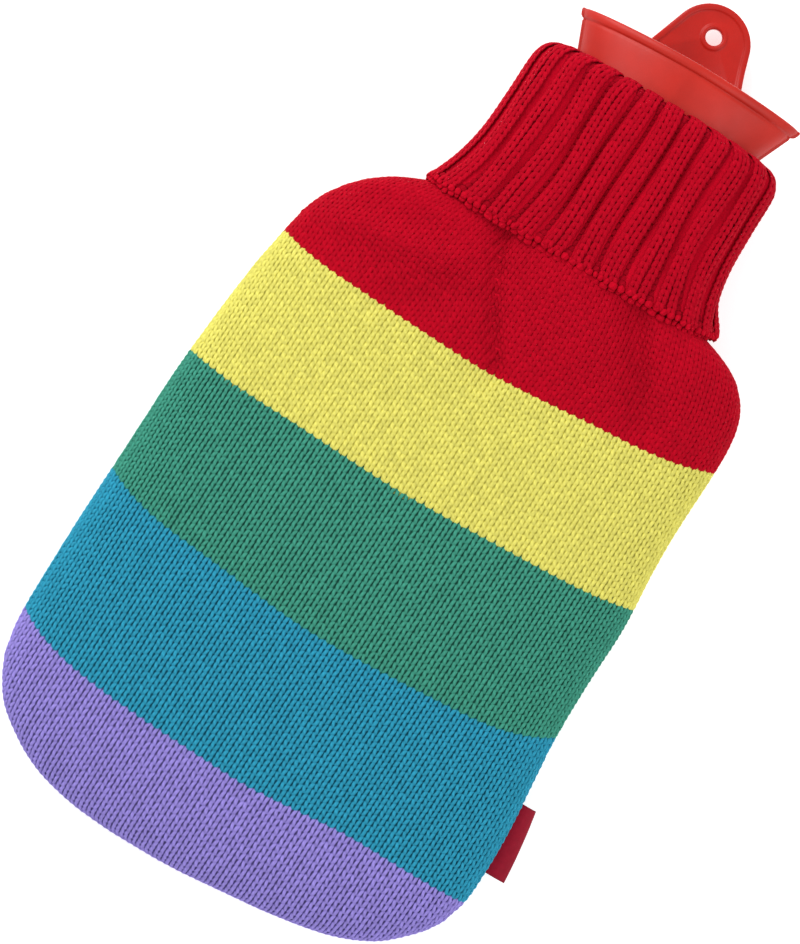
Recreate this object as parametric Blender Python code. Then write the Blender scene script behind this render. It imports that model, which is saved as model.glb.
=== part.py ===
"""A rubber hot water bottle in a knitted cover with a turned-down ribbed collar, lying on its back.

The frame: +Z up, +Y towards the neck and +X to the right as seen from above. The origin lies on the
surface, under the middle of the flat patch that the cover rests on. Sizes are in millimetres and are
turned into metres where the meshes are made. Places along the cover are measured from its bottom fold.
"""

import math

import bpy
import numpy as np

MM = 0.001
BOTTOM_TO_ORIGIN = 150.0  # the bottom fold lies this far below the origin

# The knitted sack
KNIT_THICK = 3.0
BODY_POWER = 2.5  # of the superellipse across the body: 2 is an ellipse, more is boxier
AROUND_FRONT = 34  # points over the front
AROUND_BACK = 22
NECK_LEAN = math.tan(math.radians(2.4))  # the rows near the neck rise to the right
LEAN_FROM, LEAN_TO = 60.0, 170.0

# The neck of the cover and its collar, and the bottle's neck inside it, which lies a little aside
NECK_X, NECK_Z = 4.3, 27.2
FUNNEL_X = 5.4
SEAM_GAP = 0.3

# The ribbed collar: an oval tube of rib knit, folded over at the top
RIBS = 26
POINTS_PER_RIB = 4
RIB_KNIT_THICK = 3.8
RIB_DEPTH = 1.9
COLLAR_POWER = 2.8
HEM_Y = 281.5
HEM_SCALLOP = 1.1
HEM_DROP = 3.6  # the front of the hem hangs this much lower than its sides

# The rubber bottle
RUBBER_THICK = 3.0
NECK_RADIUS = 15.5
FUNNEL_FOOT_Y, RIM_Y = 292.0, 364.8
RIM_HALF_WIDTH, RIM_HALF_DEPTH = 46.4, 19.0
RIM_POWER = 1.55  # under 2 the rim comes to a point at both sides
LIP_HEIGHT, LIP_OUT = 3.5, 0.8
FUNNEL_STEPS = 6
AROUND_BOTTLE = 36
BAG_CLEARANCE = 2.6  # to the cover's wall, so that its folds clear the bag
BAG_SEAT_GAP = 0.5  # the bag rests on the cover's underside

# The hanging tab
TAB_X, TAB_TOP_Y = 5.9, 395.4
TAB_THICK = 3.4
TAB_HEAD_RADIUS = 16.0
TAB_BASE_HALF_WIDTH = 21.6
EYELET_RADIUS, EYELET_Y = 3.3, 382.8
TAB_RELIEF = 0.6  # the border and the ring round the eyelet stand this proud
TAB_BORDER, EYELET_RING = 2.2, 1.6
TAB_BEND = 14.0  # the tab is curved like the rim at its foot and flat this far above it

# The woven label in the right side seam
LABEL_Y0, LABEL_Y1 = 64.5, 93.5
LABEL_FOOT_WIDTH, LABEL_TOP_WIDTH = 8.6, 6.2
LABEL_THICK = 1.2
LABEL_DROOP = 3.5
LABEL_GAP = 0.45

COLOURS = {
    "knit_red": (0.52, 0.006, 0.025),
    "knit_yellow": (0.80, 0.72, 0.13),
    "knit_green": (0.03, 0.26, 0.13),
    "knit_blue": (0.01, 0.28, 0.42),
    "knit_lilac": (0.30, 0.22, 0.58),
    "rubber_red": (0.58, 0.035, 0.03),
    "tab_red": (0.50, 0.03, 0.025),
    "label_red": (0.32, 0.01, 0.03),
}
KNIT_ROUGHNESS, RUBBER_ROUGHNESS = 0.95, 0.42

# Where one stripe gives way to the next, from the bottom up
STRIPES = (
    ("knit_lilac", 45.0),
    ("knit_blue", 111.0),
    ("knit_green", 173.0),
    ("knit_yellow", 231.0),
    ("knit_red", 400.0),
)

# Sections across the cover, from the bottom fold to the neck edge: the place along the cover, the
# left and right edges, the height of those edges, of the crown and of the underside. An underside
# below 0 is flattened by the surface that the cover lies on.
SECTIONS = [
    dict(zip(("y", "left", "right", "edge", "crown", "under"), row))
    for row in (
        (0.0, -25.0, -25.0, 12.5, 12.5, 12.5),
        (0.9, -42.0, 0.0, 12.6, 17.0, 8.4),
        (3.5, -56.5, 21.5, 12.8, 21.5, 4.6),
        (7.0, -66.6, 46.0, 13.0, 24.8, 2.0),
        (12.0, -75.8, 67.6, 13.2, 27.8, 0.2),
        (19.0, -85.4, 82.6, 13.4, 30.6, -1.4),
        (27.0, -91.6, 91.8, 13.6, 32.8, -2.6),
        (37.0, -96.4, 99.6, 13.8, 34.6, -3.4),
        (50.0, -98.8, 103.8, 14.0, 36.0, -4.0),
        (66.0, -99.7, 104.5, 14.0, 36.8, -4.2),
        (84.0, -100.0, 103.6, 14.0, 37.4, -4.2),
        (103.0, -100.0, 101.4, 14.0, 37.8, -4.2),
        (123.0, -99.8, 99.4, 14.0, 38.0, -4.2),
        (145.0, -99.6, 98.8, 14.0, 38.2, -4.2),
        (167.0, -99.4, 98.9, 14.2, 38.4, -4.2),
        (187.0, -98.2, 97.2, 14.4, 38.6, -4.0),
        (204.0, -97.0, 96.0, 14.8, 39.0, -3.8),
        (217.0, -95.8, 95.8, 15.4, 39.6, -3.4),
        (228.0, -94.0, 95.9, 16.2, 40.4, -2.8),
        (238.0, -92.4, 95.8, 17.2, 41.4, -2.0),
        (247.0, -90.3, 95.2, 18.4, 42.6, -0.6),
        (255.0, -86.8, 93.8, 19.8, 43.8, 0.8),
        (262.0, -81.8, 91.0, 21.2, 44.8, 2.2),
        (268.0, -75.6, 86.5, 22.6, 45.6, 3.8),
        (273.0, -68.4, 80.0, 23.8, 46.1, 5.4),
        (277.0, -59.6, 70.6, 25.0, 46.5, 7.0),
        (280.0, -51.4, 60.6, 25.8, 46.8, 8.0),
        (282.5, -45.0, 54.2, 26.4, 47.1, 8.0),
        (285.5, -39.6, 48.4, 27.0, 47.4, 7.6),
        (290.0, -36.1, 44.7, 27.2, 47.6, 6.8),
    )
]

# Folds in the front of the cover, each along a line from one place to another: their half width and
# their depth, where a negative depth is a ridge
FOLDS = [
    dict(zip(("x0", "y0", "x1", "y1", "width", "depth"), row))
    for row in (
        (-15.0, 280.0, -15.0, 258.0, 8.0, 2.4),
        (-15.0, 258.0, -34.0, 236.0, 9.0, 1.8),
        (-15.0, 258.0, 5.0, 230.0, 9.0, 2.0),
        (38.0, 278.0, 50.0, 259.0, 7.5, 2.2),
        (50.0, 259.0, 57.0, 244.0, 8.0, 1.6),
        (12.0, 270.0, 26.0, 252.0, 11.0, -1.4),
        (-80.0, 247.0, -42.0, 249.0, 6.0, -1.3),
        (-74.0, 257.0, -40.0, 260.0, 6.5, 1.2),
        (-82.0, 236.0, -46.0, 237.0, 6.5, 1.0),
        (-60.0, 120.0, -52.0, 186.0, 12.0, 0.7),
        (58.0, 60.0, 62.0, 130.0, 13.0, 0.7),
    )
]

# The middle of the collar's cloth, from the neck edge up the inner layer, over the fold and down the
# outer layer: its place along the cover, its half width and half depth, and its share of the lean
COLLAR_PATH = [
    dict(zip(("y", "half_width", "half_depth", "lean"), row))
    for row in (
        (290.0 + SEAM_GAP, 38.5, 18.5, 1.0),
        (316.0, 38.5, 18.7, 0.8),
        (338.5, 38.5, 19.6, 0.6),
        (343.5, 41.0, 21.2, 0.55),
        (344.8, 44.8, 23.0, 0.5),
        (343.2, 49.2, 25.0, 0.55),
        (338.5, 51.5, 26.0, 0.6),
        (322.0, 51.8, 26.1, 0.8),
        (306.0, 52.6, 26.0, 0.9),
        (293.0, 55.4, 25.2, 1.0),
        (HEM_Y, 60.0, 23.8, 1.0),
    )
]

# The outside of the bottle's bag, where it parts from the cover and draws in to the neck
BAG_SHOULDER = [
    dict(zip(("y", "half_width", "top", "bottom"), row))
    for row in (
        (263.0, 60.0, 38.2, 6.4),
        (272.0, 42.0, 39.6, 9.6),
        (280.0, 26.0, 40.8, 11.7),
    )
]


def smooth_step(value, start, end):
    part = min(max((value - start) / (end - start), 0.0), 1.0)
    return part * part * (3.0 - 2.0 * part)


def lean(y):
    """How much the rows rise to the right at this place along the cover."""
    return NECK_LEAN * smooth_step(y, LEAN_FROM, LEAN_TO)


def half_oval(count, half_width, height, power):
    """Evenly spaced points over half a superellipse from +1 to -1, as shares of its two sizes."""
    angles = np.linspace(0.0, math.pi, 721)
    across = np.sign(np.cos(angles)) * np.abs(np.cos(angles)) ** (2.0 / power)
    up = np.abs(np.sin(angles)) ** (2.0 / power)
    steps = np.hypot(np.diff(across) * half_width, np.diff(up) * height)
    run = np.concatenate([[0.0], np.cumsum(steps)])
    places = np.linspace(0.0, run[-1], count + 1)
    return np.interp(places, run, across), np.interp(places, run, up)


def full_oval(front, back, half_width, height, depth, power):
    """A closed ring: the front from right to left, then the back from left to right."""
    front_across, front_up = half_oval(front, half_width, height, power)
    back_across, back_up = half_oval(back, half_width, depth, power)
    across = np.concatenate([front_across[:-1], -back_across[:-1]])
    up = np.concatenate([front_up[:-1], -back_up[:-1]])
    return across, up


def fold_depth(x, y):
    """How far the folds draw the front of the cover in at this place: the deepest trough there less
    the highest ridge."""
    trough, ridge = 0.0, 0.0
    for fold in FOLDS:
        start = np.array([fold["x0"], fold["y0"]])
        along = np.array([fold["x1"], fold["y1"]]) - start
        part = np.clip(np.dot(np.array([x, y]) - start, along) / np.dot(along, along), 0.0, 1.0)
        away = math.dist((x, y), start + part * along)
        depth = fold["depth"] * math.exp(-((away / fold["width"]) ** 2))
        trough, ridge = max(trough, depth), min(ridge, depth)
    return trough + ridge


def body_ring(section, across, up):
    """One row around the cover, as points in millimetres from the bottom fold."""
    middle = (section["left"] + section["right"]) / 2.0
    half_width = (section["right"] - section["left"]) / 2.0
    ring = []
    for u, v in zip(across, up):
        x = middle + half_width * u
        if v >= 0.0:
            z = section["edge"] + (section["crown"] - section["edge"]) * v
            z -= fold_depth(x, section["y"]) * smooth_step(v, 0.15, 0.75)
        else:
            z = max(section["edge"] + (section["edge"] - section["under"]) * v, 0.0)
        ring.append((x, section["y"] + lean(section["y"]) * (x - NECK_X), z))
    return np.array(ring)


def ring_normals(rings):
    """Outward directions on a stack of rings, each anticlockwise as seen from the bottom fold."""
    around = np.roll(rings, -1, axis=1) - np.roll(rings, 1, axis=1)
    along = np.gradient(rings, axis=0)
    normals = np.cross(along, around)
    return normals / np.linalg.norm(normals, axis=2, keepdims=True)


def placed(points):
    """Millimetres from the bottom fold to metres in the frame."""
    shifted = np.array(points, float) - (0.0, BOTTOM_TO_ORIGIN, 0.0)
    return [tuple(point) for point in shifted * MM]


def material(name, roughness):
    made = bpy.data.materials.new(name)
    made.use_nodes = True
    shader = made.node_tree.nodes["Principled BSDF"]
    shader.inputs["Base Color"].default_value = (*COLOURS[name], 1.0)
    shader.inputs["Roughness"].default_value = roughness
    shader.inputs["Metallic"].default_value = 0.0
    made.diffuse_color = (*COLOURS[name], 1.0)
    return made


def side_faces(rings, looped):
    count = len(rings[0])
    faces = []
    for row in range(len(rings) if looped else len(rings) - 1):
        low = row * count
        high = ((row + 1) % len(rings)) * count
        for i in range(count):
            j = (i + 1) % count
            faces.append((low + i, high + i, high + j, low + j))
    return faces


def end_faces(rings, poles):
    """Closes both ends, with a fan to each pole or, with none, with one flat face."""
    count = len(rings[0])
    last = (len(rings) - 1) * count
    if not poles:
        return [tuple(range(count)), tuple(last + i for i in reversed(range(count)))]
    first_pole = len(rings) * count
    faces = []
    for i in range(count):
        j = (i + 1) % count
        faces.append((i, j, first_pole))
        faces.append((last + j, last + i, first_pole + 1))
    return faces


def wrap(name, rings, materials, looped=False, poles=()):
    """A closed skin over rings of equal count. Looped, the last ring joins the first."""
    points = [tuple(point) for ring in rings for point in ring] + [tuple(pole) for pole in poles]
    faces = side_faces(rings, looped) + ([] if looped else end_faces(rings, poles))
    mesh = bpy.data.meshes.new(name)
    mesh.from_pydata(placed(points), [], faces)
    for one in materials:
        mesh.materials.append(one)
    mesh.update()
    mesh.shade_smooth()
    mesh.set_sharp_from_angle(angle=math.radians(50))
    made = bpy.data.objects.new(name, mesh)
    bpy.context.collection.objects.link(made)
    return made


def paint_stripes(cover):
    """Gives each face of the cover the yarn of the stripe that it lies in."""
    for face in cover.data.polygons:
        x = face.center.x / MM
        y = face.center.y / MM + BOTTOM_TO_ORIGIN
        row = y - lean(y) * (x - NECK_X)
        face.material_index = next(i for i, (_, top) in enumerate(STRIPES) if row < top)


def make_cover_body():
    across, up = full_oval(AROUND_FRONT, AROUND_BACK, 98.0, 24.0, 16.0, BODY_POWER)
    outer = np.array([body_ring(section, across, up) for section in SECTIONS[1:]])
    inner = outer - KNIT_THICK * ring_normals(outer)
    inner[-1][:, 1] = SECTIONS[-1]["y"] + NECK_LEAN * (inner[-1][:, 0] - NECK_X)
    fold = SECTIONS[0]
    pole = np.array([fold["left"], fold["y"], fold["edge"]])
    inner_pole = pole + (0.0, KNIT_THICK, 0.0)
    yarns = [material(name, KNIT_ROUGHNESS) for name, _ in STRIPES]
    rings = list(outer) + list(inner[::-1])
    paint_stripes(wrap("cover_body", rings, yarns, poles=(pole, inner_pole)))


def neck_point(u, v, y, half_width, half_depth, middle=NECK_X, lean_share=1.0):
    x = middle + half_width * u
    return (x, y + NECK_LEAN * lean_share * (x - NECK_X), NECK_Z + half_depth * v)


def outward(path):
    """At each station of the collar's path, the way that its raised side faces, as shares across
    and along: towards the neck on the inner layer and away from it on the outer one."""
    across = np.gradient([station["half_width"] for station in path])
    along = np.gradient([station["y"] for station in path])
    length = np.hypot(across, along)
    return list(zip(-along / length, across / length))


def collar_ring(station, out, away, hem, across, up):
    """One ring of the collar's cloth. away is how far it lies from the middle of the cloth."""
    ring = []
    for i, (u, v) in enumerate(zip(across, up)):
        y = station["y"] + away[i] * out[1] - hem[i]
        half_width = station["half_width"] + away[i] * out[0]
        half_depth = station["half_depth"] + away[i] * out[0]
        x, y, z = neck_point(u, v, y, half_width, half_depth, NECK_X, station["lean"])
        ring.append((x, y, max(z, 0.0)))
    return np.array(ring)


def make_collar():
    count = RIBS * POINTS_PER_RIB
    across, up = full_oval(count // 2, count // 2, 54.0, 28.0, 28.0, COLLAR_POWER)
    half = RIB_KNIT_THICK / 2.0
    high = np.array([i % POINTS_PER_RIB < 2 for i in range(count)], float)
    ribbed = half - RIB_DEPTH * (1.0 - high)
    plain = np.full(count, -half)
    drop = HEM_DROP * np.maximum(up, 0.0) ** 2 + HEM_SCALLOP * high
    last = len(COLLAR_PATH) - 1
    outs = outward(COLLAR_PATH)
    outs[0] = (-1.0, 0.0)
    front, back = [], []
    for i, (station, out) in enumerate(zip(COLLAR_PATH, outs)):
        hem = drop * smooth_step(i, last - 3, last)
        front.append(collar_ring(station, out, ribbed, hem, across, up))
        back.append(collar_ring(station, out, plain, hem, across, up))
    wrap("collar", back + front[::-1], [material("knit_red", KNIT_ROUGHNESS)], looped=True)


def powered(angle, power):
    """A point of a superellipse that keeps its angle's place whatever the power."""
    c, s = math.cos(angle), math.sin(angle)
    return (
        math.copysign(abs(c) ** (2.0 / power), c),
        math.copysign(abs(s) ** (2.0 / power), s),
    )


def funnel_rings(angles, wall):
    """The funnel from its foot to its rim, drawn in by the thickness of the wall."""
    rings = []
    lip_from = 1.0 - LIP_HEIGHT / (RIM_Y - FUNNEL_FOOT_Y)
    steps = [lip_from * step / FUNNEL_STEPS for step in range(FUNNEL_STEPS + 1)]
    out = [0.0] * len(steps) + [LIP_OUT, LIP_OUT]
    for part, lip in zip(steps + [lip_from + 0.003, 1.0], out):
        half_width = NECK_RADIUS + part * (RIM_HALF_WIDTH - NECK_RADIUS) - wall * (1.0 + 0.5 * part)
        half_depth = NECK_RADIUS + part * (RIM_HALF_DEPTH - NECK_RADIUS) - wall
        if not wall:
            half_width += lip - LIP_OUT * part
            half_depth += lip - LIP_OUT * part
        power = 2.0 + (RIM_POWER - 2.0) * part
        y = FUNNEL_FOOT_Y + part * (RIM_Y - FUNNEL_FOOT_Y)
        ring = []
        for angle in angles:
            u, v = powered(angle, power)
            ring.append(neck_point(u, v, y, half_width, half_depth, FUNNEL_X))
        rings.append(ring)
    return rings


def shoulder_rings(angles, wall):
    """Where the bag draws in to the neck, up to the neck's foot."""
    rings = []
    for row in BAG_SHOULDER:
        middle = (row["top"] + row["bottom"]) / 2.0
        half_depth = (row["top"] - row["bottom"]) / 2.0 - wall
        ring = []
        for angle in angles:
            u, v = powered(angle, 2.0)
            x, y, _ = neck_point(u, v, row["y"], row["half_width"] - wall, half_depth, FUNNEL_X)
            ring.append((x, y, middle + half_depth * v))
        rings.append(ring)
    return rings


def bag_rings(angles, sections, inset):
    """The bag inside the cover, this far from its outside but for its underside, which rests."""
    lift = inset - BAG_CLEARANCE + BAG_SEAT_GAP
    rings = []
    for section in sections:
        middle = (section["left"] + section["right"]) / 2.0
        half_width = (section["right"] - section["left"]) / 2.0 - inset
        rise = section["crown"] - inset - section["edge"]
        sink = section["edge"] - section["under"] - lift
        push = inset * (1.0 - smooth_step(section["y"], 20.0, 80.0))
        floor = max(section["under"], 0.0) + lift
        ring = []
        for angle in angles:
            u, v = powered(angle, BODY_POWER)
            x = middle + half_width * u
            z = max(section["edge"] + (rise if v >= 0.0 else sink) * v, floor)
            ring.append((x, section["y"] + push + lean(section["y"]) * (x - NECK_X), z))
        rings.append(ring)
    return rings


def make_bottle():
    angles = [2.0 * math.pi * i / AROUND_BOTTLE for i in range(AROUND_BOTTLE)]
    sections = SECTIONS[4:9] + SECTIONS[10:22:2]
    inset = KNIT_THICK + BAG_CLEARANCE
    outside = bag_rings(angles, SECTIONS[3:4] + sections, inset)
    outside += shoulder_rings(angles, 0.0) + funnel_rings(angles, 0.0)
    inside = bag_rings(angles, sections, inset + RUBBER_THICK)
    inside += shoulder_rings(angles, RUBBER_THICK) + funnel_rings(angles, RUBBER_THICK)
    poles = []
    for ring in (outside[0], inside[0]):
        middle = np.mean(ring, axis=0)
        poles.append((middle[0], middle[1] - RUBBER_THICK, middle[2]))
    rubber = material("rubber_red", RUBBER_ROUGHNESS)
    wrap("bottle", outside + inside[::-1], [rubber], poles=poles)


def rim_back(x):
    """How far the back of the rim at x lies above its lowest line."""
    share = min(abs(x - FUNNEL_X) / RIM_HALF_WIDTH, 1.0)
    return RIM_HALF_DEPTH * (1.0 - (1.0 - share**RIM_POWER) ** (1.0 / RIM_POWER))


def tab_outline():
    """Anticlockwise from the right end of the foot: a side, the round head, a side and the foot."""
    head_y = TAB_TOP_Y - TAB_HEAD_RADIUS
    head = [
        (
            TAB_X + TAB_HEAD_RADIUS * math.cos(math.radians(angle)),
            head_y + TAB_HEAD_RADIUS * math.sin(math.radians(angle)),
        )
        for angle in np.linspace(-10.0, 190.0, 21)
    ]
    foot = []
    for share in np.linspace(-1.0, 1.0, 9):
        x = TAB_X + TAB_BASE_HALF_WIDTH * share
        foot.append((x, RIM_Y + SEAM_GAP + NECK_LEAN * (x - NECK_X)))
    return head + foot


def make_hang_tab():
    outline = tab_outline()
    base_z = NECK_Z - RIM_HALF_DEPTH
    rings = []
    for side in (1.0, -1.0):
        face = []
        for border, proud in (
            ("eyelet", 1.0),
            ("ring", 1.0),
            ("ring_foot", 0.0),
            ("border_foot", 0.0),
            ("border", 1.0),
            ("edge", 1.0),
        ):
            ring = []
            for x, y in outline:
                away = math.dist((x, y), (TAB_X, EYELET_Y))
                far = {
                    "eyelet": EYELET_RADIUS,
                    "ring": EYELET_RADIUS + EYELET_RING,
                    "ring_foot": EYELET_RADIUS + EYELET_RING + 0.5,
                    "border_foot": away - TAB_BORDER - 0.5,
                    "border": away - TAB_BORDER,
                    "edge": away,
                }[border]
                px = TAB_X + (x - TAB_X) * far / away
                py = EYELET_Y + (y - EYELET_Y) * far / away
                bend = rim_back(px) * (1.0 - smooth_step(py, RIM_Y, RIM_Y + TAB_BEND))
                height = TAB_THICK / 2.0 - TAB_RELIEF * (1.0 - proud)
                ring.append((px, py, base_z + TAB_THICK / 2.0 + bend + side * height))
            face.append(ring)
        rings += face if side > 0.0 else face[::-1]
    wrap("hang_tab", rings, [material("tab_red", RUBBER_ROUGHNESS)], looped=True)


def right_edge(y):
    """The right edge of the cover and its height, between the sections on both sides of y."""
    places = [section["y"] for section in SECTIONS]
    x = np.interp(y, places, [section["right"] for section in SECTIONS])
    return x, np.interp(y, places, [section["edge"] for section in SECTIONS])


def make_side_label():
    rings = []
    for y in np.linspace(LABEL_Y0, LABEL_Y1, 8):
        x, z = right_edge(y)
        width = np.interp(y, (LABEL_Y0, LABEL_Y1), (LABEL_FOOT_WIDTH, LABEL_TOP_WIDTH))
        lifted = y + lean(y) * (x - NECK_X)
        top, under = [], []
        for share in np.linspace(0.0, 1.0, 6):
            px = x + LABEL_GAP + width * share
            pz = z - LABEL_DROOP * share**2
            top.append((px, lifted, pz + LABEL_THICK / 2.0))
            under.append((px, lifted, pz - LABEL_THICK / 2.0))
        rings.append(under + top[::-1])
    wrap("side_label", rings, [material("label_red", KNIT_ROUGHNESS)])


def main():
    for old in list(bpy.data.objects):
        bpy.data.objects.remove(old, do_unlink=True)
    make_cover_body()
    make_collar()
    make_bottle()
    make_hang_tab()
    make_side_label()


main()
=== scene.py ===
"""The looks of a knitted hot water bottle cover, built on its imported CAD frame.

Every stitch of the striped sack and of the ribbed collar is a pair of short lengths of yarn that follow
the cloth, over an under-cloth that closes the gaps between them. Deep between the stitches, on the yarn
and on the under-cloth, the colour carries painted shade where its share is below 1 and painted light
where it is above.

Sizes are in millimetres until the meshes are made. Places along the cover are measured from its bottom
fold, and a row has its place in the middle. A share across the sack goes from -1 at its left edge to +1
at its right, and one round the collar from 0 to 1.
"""

import math
from collections import namedtuple

import bpy
import numpy as np
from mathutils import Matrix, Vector


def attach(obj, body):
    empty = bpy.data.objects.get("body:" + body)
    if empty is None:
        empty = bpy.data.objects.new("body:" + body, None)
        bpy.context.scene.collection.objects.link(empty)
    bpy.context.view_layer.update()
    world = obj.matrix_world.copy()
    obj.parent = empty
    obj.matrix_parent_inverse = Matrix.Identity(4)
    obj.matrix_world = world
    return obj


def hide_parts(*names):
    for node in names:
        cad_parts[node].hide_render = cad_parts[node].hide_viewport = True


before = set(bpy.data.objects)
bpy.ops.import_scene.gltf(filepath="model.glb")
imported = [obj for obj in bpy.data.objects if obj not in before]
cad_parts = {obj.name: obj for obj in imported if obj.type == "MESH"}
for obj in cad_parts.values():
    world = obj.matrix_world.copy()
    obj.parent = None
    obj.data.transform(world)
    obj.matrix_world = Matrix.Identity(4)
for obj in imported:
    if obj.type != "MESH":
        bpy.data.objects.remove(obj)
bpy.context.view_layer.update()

MM = 0.001
ORIGIN = (0.0, 150.0, 0.0)  # the CAD frame's, measured from the bottom fold
SEED = 7

# The sack's sections, as in the CAD source: the place along the cover, the left and right edges, and
# the heights of those edges, of the crown and of the underside
SECTIONS = (
    (0, -25, -25, 12.5, 12.5, 12.5), (0.9, -42, 0, 12.6, 17, 8.4),
    (3.5, -56.5, 21.5, 12.8, 21.5, 4.6), (7, -66.6, 46, 13, 24.8, 2),
    (12, -75.8, 67.6, 13.2, 27.8, 0.2), (19, -85.4, 82.6, 13.4, 30.6, -1.4),
    (27, -91.6, 91.8, 13.6, 32.8, -2.6), (37, -96.4, 99.6, 13.8, 34.6, -3.4),
    (50, -98.8, 103.8, 14, 36, -4), (66, -99.7, 104.5, 14, 36.8, -4.2),
    (84, -100, 103.6, 14, 37.4, -4.2), (103, -100, 101.4, 14, 37.8, -4.2),
    (123, -99.8, 99.4, 14, 38, -4.2), (145, -99.6, 98.8, 14, 38.2, -4.2),
    (167, -99.4, 98.9, 14.2, 38.4, -4.2), (187, -98.2, 97.2, 14.4, 38.6, -4),
    (204, -97, 96, 14.8, 39, -3.8), (217, -95.8, 95.8, 15.4, 39.6, -3.4),
    (228, -94, 95.9, 16.2, 40.4, -2.8), (238, -92.4, 95.8, 17.2, 41.4, -2),
    (247, -90.3, 95.2, 18.4, 42.6, -0.6), (255, -86.8, 93.8, 19.8, 43.8, 0.8),
    (262, -81.8, 91, 21.2, 44.8, 2.2), (268, -75.6, 86.5, 22.6, 45.6, 3.8),
    (273, -68.4, 80, 23.8, 46.1, 5.4), (277, -59.6, 70.6, 25, 46.5, 7),
    (280, -51.4, 60.6, 25.8, 46.8, 8), (282.5, -45, 54.2, 26.4, 47.1, 8),
    (285.5, -39.6, 48.4, 27, 47.4, 7.6), (290, -36.1, 44.7, 27.2, 47.6, 6.8),
)
BOTTOM_X = SECTIONS[0][1]
PROFILE_STEPS = 1800
BODY_POWER = 2.5  # of the section, a superellipse
NECK_LEAN = math.tan(math.radians(2.4))
LEAN_PLACES = (60.0, 170.0)  # where the lean sets in
NECK_X, NECK_Z = 4.3, 27.2
OVAL_STEPS = 720

# Folds in the front: from one point to another, their half widths to the left of that line and to its
# right, and their depth (a ridge is negative)
FOLDS = (
    (-20, 272, -12, 251, 11, 4, 3), (-12, 251, 4, 227, 10, 3.8, 2.5),
    (-14, 254, -44, 234, 8.5, 7, 2), (39, 269, 49.5, 255, 9, 5, 2.8),
    (49.5, 255, 60, 238, 9, 6, 2.2), (10, 272, 26, 252, 12, 12, -1.6),
    (-76, 251, -34, 253.5, 5.5, 5.5, -1.8), (-72, 260, -40, 262, 5.5, 5.5, 1.3),
    (-82, 239, -50, 241, 5.5, 5.5, 1.3), (66, 262, 74, 244, 7, 7, -1.2),
    (-60, 120, -52, 186, 12, 12, 0.7), (58, 60, 62, 130, 13, 13, 0.7),
)
# The sharp lines at the bottom of the deepest ones, added to them
CREASES = (
    (-20, 272, -12, 251, 3.2, 1.8, 1.1), (-12, 251, 3, 230, 3.2, 1.8, 1),
    (39, 270, 49.5, 255, 3.6, 2.6, 0.8), (49.5, 255, 56, 244, 3.6, 2.6, 0.5),
)
# Painted shade in the folds: where the front's yarn is painted darker, and by what share
FOLD_PAINTED_SHADE = (
    (-21, 282, -20, 272, 4.5, 2.4, 0.08), (-20, 272, -12, 251, 5, 2.2, 0.12),
    (-12, 251, 2.5, 231, 4.5, 2, 0.16), (-16, 252, -42, 235, 6, 6, 0.06),
    (38, 274, 49.5, 255, 6, 5, 0.09), (49.5, 255, 57, 242, 6.5, 5, 0.14),
)
FOLD_FADE = (0.15, 0.75)  # towards the sack's edge, in shares of the section's height

# The plain knit
WALE_PITCH = 3.8
WALES_EACH_WAY = 30
WALE_LIMITS = (0.75, 1.12)  # of a stitch's width, in shares of the pitch
NARROWING_FROM = 235.0  # above this the wales run closer together
STITCH_SINK = 1.15  # the middle of the yarn lies this far inside the CAD's surface
FRONT_FROM_Z = 30.0  # yarn higher than this is on the front
TANGENT_REACH = 0.8
# Where the wales are traced. One on fewer rows is left out, and its ends lie a step past its last row
TRACED_ROWS, TRACED_SHARES = np.linspace(0.4, 289.5, 579), np.linspace(-1.0, 1.0, 241)
FEWEST_ROWS, END_STEP = 8, 0.3
FOOT_RUN, TOP_RUN = 62.0, 84.0  # enough wale for the bottom and the top stripe
# Shares of a row's height: end stitches under the first join the next one, others are left out
JOINED_UNDER, DROPPED_UNDER = 0.5, 0.45
# The column of stitches round the sack's edge
EDGE_PITCH, EDGE_WIDTH, EDGE_MIDDLE = 2.7, 5.7, 0.45
EDGE_TOP_Y, EDGE_STEPS, EDGE_TANGENT_REACH = 284.0, 1200, 1.5
# The cloth under the stitches, whose colour carries the stripes' painted shade and light between them
CLOTH_THICK = 1.5
CLOTH_START, CLOTH_RINGS = 0.35 / 59.0, 144  # from this share of the way along the profile
FRONT_COLUMNS, BACK_COLUMNS = 60, 40
# How far a row's ends rise above its middle: the row, the rise midway to the left edge and at it, then
# the same for the right
SMILE = (
    (0, 0, 0, 0, 0), (14, 0.3, 5.5, 2, 3.5), (45.5, 0.3, 9.2, 5, 5.2),
    (107.8, 3.6, 12.4, 2.5, 11.8), (170.8, 2.3, 6.2, 1.2, 5.2), (226.1, 2.3, 10.5, 3, 11.5),
    (262, 1.5, 5, 1.5, 4.5), (292, 0, 0, 0, 0),
)
SMILE_MIDWAY, SMILE_END, SMILE_POWER = 60.0, 97.0, 5
# The stripes from the bottom up. The colour is linear, and deep between the stitches it is multiplied by a
# share that paints shade there below 1 and paints light above 1; fatness and relief are against the yarn's
# template, and cloth_sink is inside the CAD's surface
Stripe = namedtuple("Stripe", "name top pitch colour deep_share fatness relief cloth_sink")
STRIPES = (
    Stripe("knit_lilac", 45.5, 3.05, (0.332, 0.266, 0.73), 0.46, 0.97, 0.96, 1.15),
    Stripe("knit_blue", 107.8, 2.47, (0.029, 0.326, 0.494), 0.48, 0.96, 0.96, 1.12),
    Stripe("knit_green", 170.8, 2.68, (0.056, 0.322, 0.226), 0.46, 0.93, 0.94, 1.1),
    Stripe("knit_yellow", 226.1, 2.53, (0.805, 0.748, 0.156), 1.0, 1.04, 0.66, 0.85),
    Stripe("knit_red", 400.0, 2.45, (0.49, 0.001, 0.014), 1.25, 1.12, 0.42, 0.62),
)
RED = STRIPES[-1]

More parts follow.
